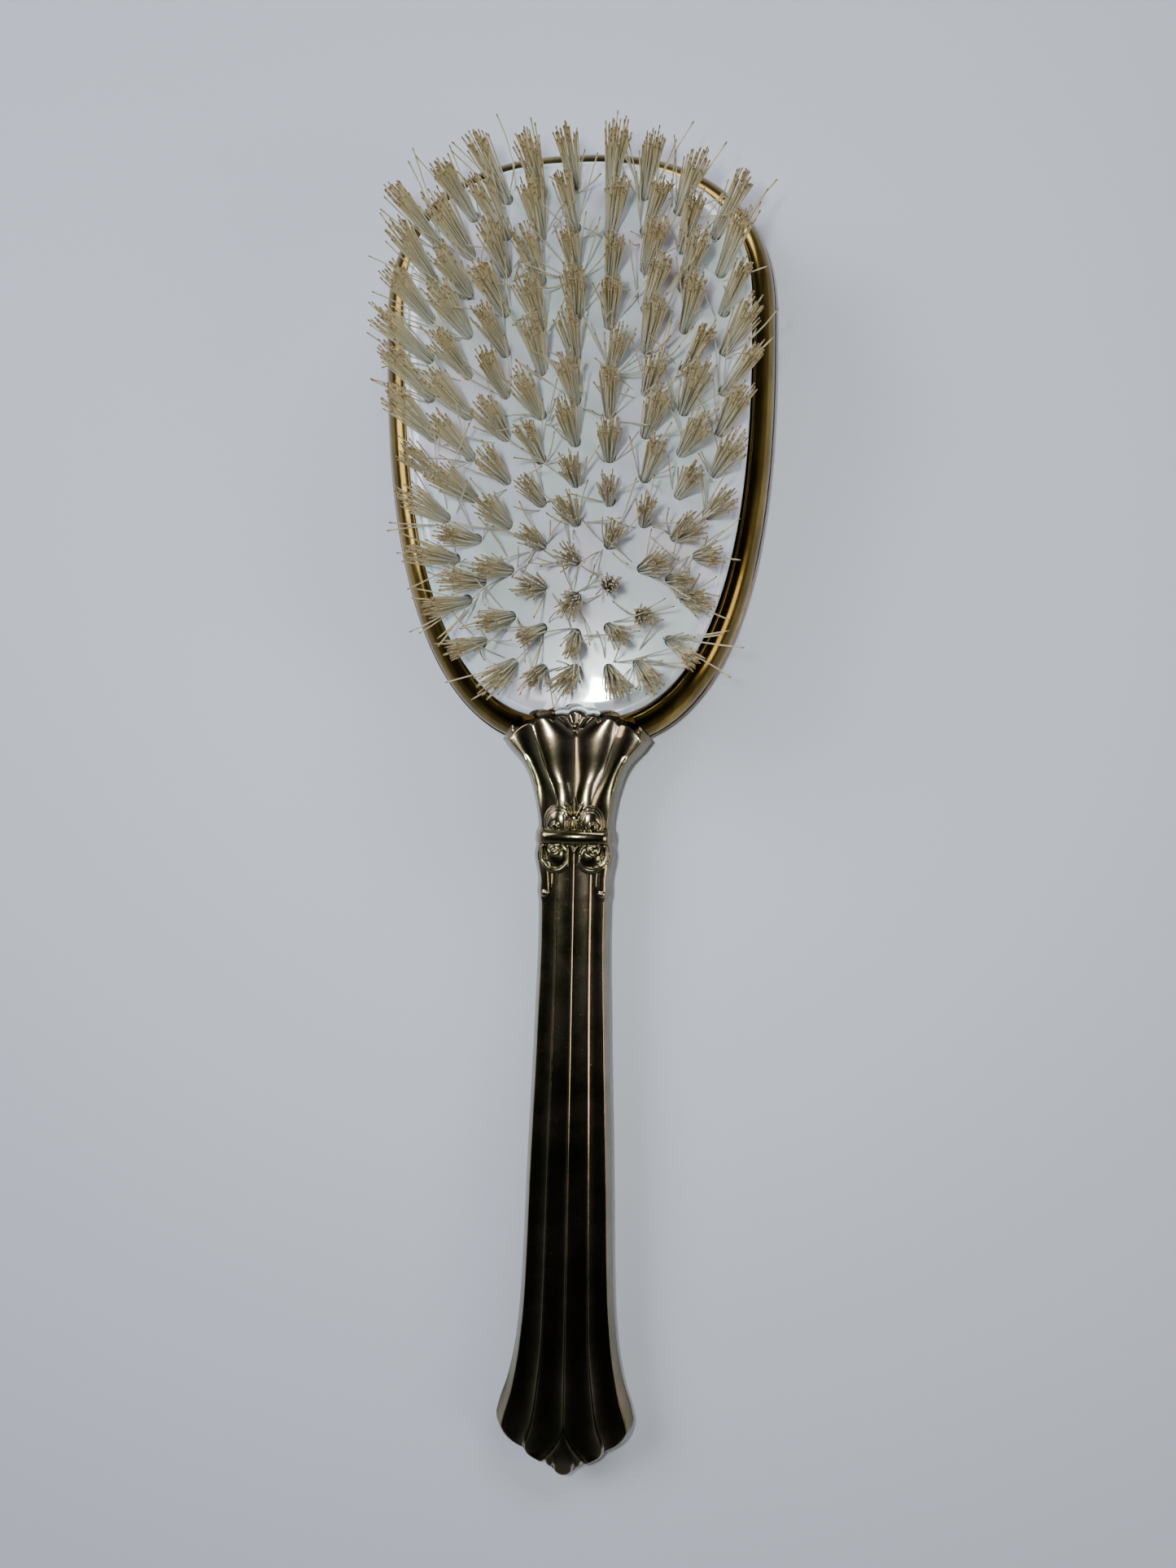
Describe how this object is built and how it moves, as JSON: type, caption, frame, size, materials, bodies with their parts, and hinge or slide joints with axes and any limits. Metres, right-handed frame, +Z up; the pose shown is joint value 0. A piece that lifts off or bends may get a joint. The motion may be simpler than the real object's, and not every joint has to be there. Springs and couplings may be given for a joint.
{
  "type": "vanity hairbrush",
  "caption": "Vanity hairbrush with an egg-shaped pearlised block of open bristle tufts in a polished metal frame and a fluted, scroll-ornamented metal handle.",
  "frame": {"origin": "middle of the footprint, on the surface the brush lies on with its back down", "axes": "+Z up out of the bristles, +Y from the handle's tip to the top of the head, +X to the right"},
  "size_m": [0.0702, 0.2364, 0.0278],
  "materials": {
    "frame": "polished gilt frame",
    "tray": "stamped and gilt sheet, satin",
    "pearl": "pearlised glossy moulded plastic",
    "card": "plain packing card",
    "bristle": "natural-coloured filaments with darker tips",
    "handle": "tarnished plated stamping, polished high points",
    "steel": "plain steel",
    "core": "cast cement"
  },
  "bodies": {
    "root": {"bezel_rim": "frame", "back_tray": "tray", "back_panel": "pearl", "packing_card": "card", "bristle_block": "pearl", "bristle_row_1": "bristle", "bristle_row_2": "bristle", "bristle_row_3": "bristle", "bristle_row_4": "bristle", "bristle_row_5": "bristle", "bristle_row_6": "bristle", "bristle_row_7": "bristle", "bristle_row_8": "bristle", "bristle_row_9": "bristle", "handle_front_shell": "handle", "handle_back_shell": "handle", "handle_tang": "steel", "handle_filler": "core", "tang_screw_1": "steel", "tang_screw_2": "steel"}
  },
  "joints": []
}
